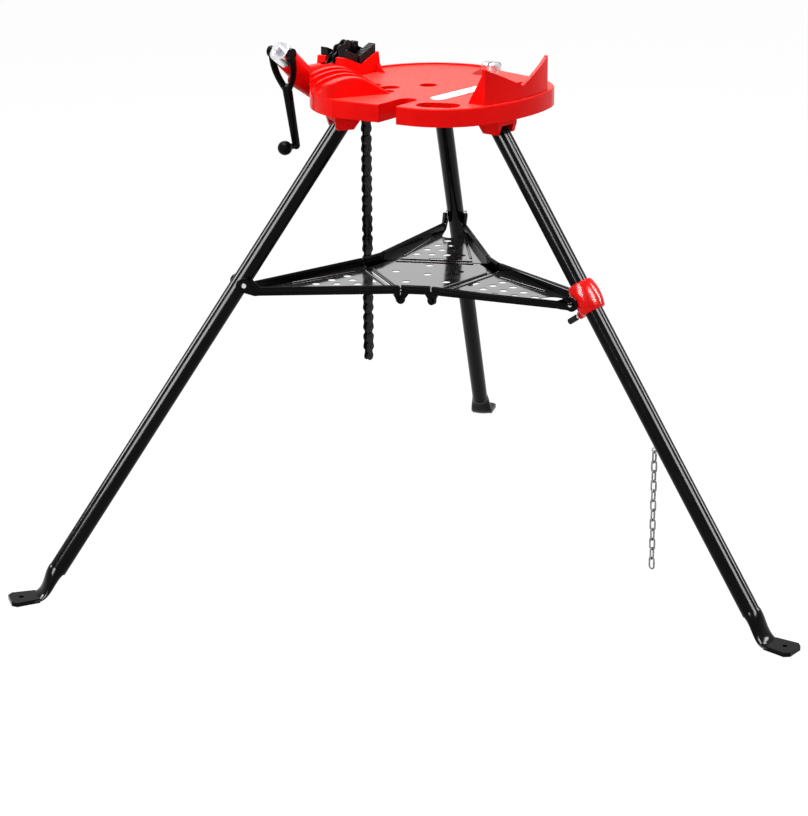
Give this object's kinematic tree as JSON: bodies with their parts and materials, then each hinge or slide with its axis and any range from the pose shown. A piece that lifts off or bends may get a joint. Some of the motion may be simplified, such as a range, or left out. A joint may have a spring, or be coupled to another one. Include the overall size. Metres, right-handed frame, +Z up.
{
  "type": "tripod pipe vise stand",
  "caption": "Folding tripod stand with a cast table, chain pipe vise, pipe benders, V rest, ceiling brace screw and a hinged tool tray.",
  "frame": {"origin": "on the floor, at the middle of the footprint box", "axes": "+Z up, +Y from the V rest towards the vise, +X to the right seen from the V rest"},
  "size_m": [1.3698, 1.1892, 0.9465],
  "materials": {
    "red_paint": "gloss red enamel",
    "black_paint": "gloss black enamel",
    "tray_paint": "semi-gloss black enamel",
    "chrome": "polished",
    "zinc": "zinc plated",
    "chain_steel": "blackened steel",
    "jaw_steel": "hardened black",
    "black_grip": "dipped vinyl"
  },
  "bodies": {
    "table": {"table_casting": "red_paint", "leg_hinge_pins": "zinc", "front_jaw": "jaw_steel", "rear_jaw": "jaw_steel", "jaw_screws": "zinc", "thrust_washer": "chrome"},
    "leg_front": {"leg_front": "black_paint", "tie_eye": "zinc"},
    "leg_left": {"leg_left": "black_paint", "tray_pivot_pin_left": "zinc"},
    "leg_right": {"leg_right": "black_paint", "tray_pivot_pin_right": "zinc"},
    "tray_plate": {"tray_plate": "tray_paint", "tray_hinge_pins": "zinc"},
    "tray_wing_front": {"tray_wing_front": "tray_paint", "wing_rivets_front": "zinc"},
    "tray_wing_left": {"tray_wing_left": "tray_paint", "wing_rivets_left": "zinc"},
    "tray_wing_right": {"tray_wing_right": "tray_paint", "wing_rivets_right": "zinc"},
    "collar": {"leg_collar": "red_paint", "tray_pivot_pin_front": "zinc"},
    "plunger": {"lock_plunger": "zinc", "plunger_grip": "black_grip"},
    "crank_nut": {"crank_nut": "chrome", "fork_pins": "zinc"},
    "chain_screw": {"chain_screw": "zinc", "vise_chain_1": "chain_steel"},
    "crank_handle": {"crank_handle": "black_paint", "handle_knob": "black_paint"},
    "chain_2": {"vise_chain_2": "chain_steel"},
    "chain_3": {"vise_chain_3": "chain_steel"},
    "chain_4": {"vise_chain_4": "chain_steel"},
    "chain_5": {"vise_chain_5": "chain_steel"},
    "chain_6": {"vise_chain_6": "chain_steel"},
    "chain_7": {"vise_chain_7": "chain_steel"},
    "brace_screw": {"brace_screw": "zinc"},
    "tie_upper": {"tie_chain_upper": "zinc"},
    "tie_lower": {"tie_chain_lower": "zinc"}
  },
  "joints": [
    {"name": "leg_front_fold", "type": "hinge", "parent": "table", "child": "leg_front", "pos_m": [0, 0.04353, 0.826], "axis": [1, 0, 0], "range_deg": [0, 33.4]},
    {"name": "leg_left_fold", "type": "hinge", "parent": "table", "child": "leg_left", "pos_m": [-0.12402, 0.25833, 0.826], "axis": [-0.5, -0.866, 0], "range_deg": [0, 33.4]},
    {"name": "leg_right_fold", "type": "hinge", "parent": "table", "child": "leg_right", "pos_m": [0.12402, 0.25833, 0.826], "axis": [-0.5, 0.866, 0], "range_deg": [0, 33.4]},
    {"name": "tray_rise", "type": "slide", "parent": "table", "child": "tray_plate", "axis": [0, 0, 1], "range_m": [0, 0.22226]},
    {"name": "wing_front_fold", "type": "hinge", "parent": "tray_plate", "child": "tray_wing_front", "pos_m": [0, 0.09973, 0.503], "axis": [1, 0, 0], "range_deg": [0, 83.14]},
    {"name": "wing_left_fold", "type": "hinge", "parent": "tray_plate", "child": "tray_wing_left", "pos_m": [-0.07534, 0.23023, 0.503], "axis": [-0.5, -0.866, 0], "range_deg": [0, 81.97]},
    {"name": "wing_right_fold", "type": "hinge", "parent": "tray_plate", "child": "tray_wing_right", "pos_m": [0.07534, 0.23023, 0.503], "axis": [-0.5, 0.866, 0], "range_deg": [0, 81.97]},
    {"name": "collar_slide", "type": "slide", "parent": "leg_front", "child": "collar", "axis": [0, 0.5793, 0.8151], "range_m": [0, 0.01028]},
    {"name": "plunger_pull", "type": "slide", "parent": "collar", "child": "plunger", "axis": [0, 0.8151, -0.5793], "range_m": [0, 0.008], "stiffness_N_per_m": 400, "springref_m": -0.004},
    {"name": "nut_turn", "type": "hinge", "parent": "table", "child": "crank_nut", "pos_m": [-0.173, 0.37273, 0.922], "axis": [-0.7431, 0, 0.6691], "range_deg": [-140, 3]},
    {"name": "screw_travel", "type": "slide", "parent": "table", "child": "chain_screw", "axis": [-0.7431, 0, 0.6691], "range_m": [-0.00156, 0.00003]},
    {"name": "handle_swing", "type": "hinge", "parent": "crank_nut", "child": "crank_handle", "pos_m": [-0.173, 0.37273, 0.922], "axis": [0, 1, 0], "range_deg": [0, 150]},
    {"name": "chain_bend_1", "type": "hinge", "parent": "chain_screw", "child": "chain_2", "pos_m": [0.05067, 0.37273, 0.8073], "axis": [0, 1, 0], "range_deg": [-10, 10]},
    {"name": "chain_bend_2", "type": "hinge", "parent": "chain_2", "child": "chain_3", "pos_m": [0.05067, 0.37273, 0.71205], "axis": [0, 1, 0], "range_deg": [-10, 10]},
    {"name": "chain_bend_3", "type": "hinge", "parent": "chain_3", "child": "chain_4", "pos_m": [0.05067, 0.37273, 0.6168], "axis": [0, 1, 0], "range_deg": [-10, 10]},
    {"name": "chain_bend_4", "type": "hinge", "parent": "chain_4", "child": "chain_5", "pos_m": [0.05067, 0.37273, 0.5406], "axis": [0, 1, 0], "range_deg": [-10, 10]},
    {"name": "chain_bend_5", "type": "hinge", "parent": "chain_5", "child": "chain_6", "pos_m": [0.05067, 0.37273, 0.4644], "axis": [0, 1, 0], "range_deg": [-10, 10]},
    {"name": "chain_bend_6", "type": "hinge", "parent": "chain_6", "child": "chain_7", "pos_m": [0.05067, 0.37273, 0.3882], "axis": [0, 1, 0], "range_deg": [-10, 10]},
    {"name": "brace_raise", "type": "slide", "parent": "table", "child": "brace_screw", "axis": [0, 0, 1], "range_m": [0, 0.04]},
    {"name": "tie_swing", "type": "hinge", "parent": "leg_front", "child": "tie_upper", "pos_m": [0, -0.30846, 0.291], "axis": [1, 0, 0], "range_deg": [-15, 15]},
    {"name": "tie_bend", "type": "hinge", "parent": "tie_upper", "child": "tie_lower", "pos_m": [0, -0.30846, 0.18429], "axis": [1, 0, 0], "range_deg": [-20, 20]}
  ],
  "couplings": [
    {"joint": "leg_left_fold", "follows": "leg_front_fold", "ratio": 1},
    {"joint": "leg_right_fold", "follows": "leg_front_fold", "ratio": 1},
    {"joint": "tray_rise", "follows": "leg_front_fold", "m_per_rad": 0.38128},
    {"joint": "wing_front_fold", "follows": "leg_front_fold", "ratio": 2.4894},
    {"joint": "wing_left_fold", "follows": "leg_front_fold", "ratio": 2.4542},
    {"joint": "wing_right_fold", "follows": "leg_front_fold", "ratio": 2.4542},
    {"joint": "collar_slide", "follows": "leg_front_fold", "m_per_rad": 0.01763},
    {"joint": "screw_travel", "follows": "nut_turn", "m_per_rad": 0.00063662}
  ]
}
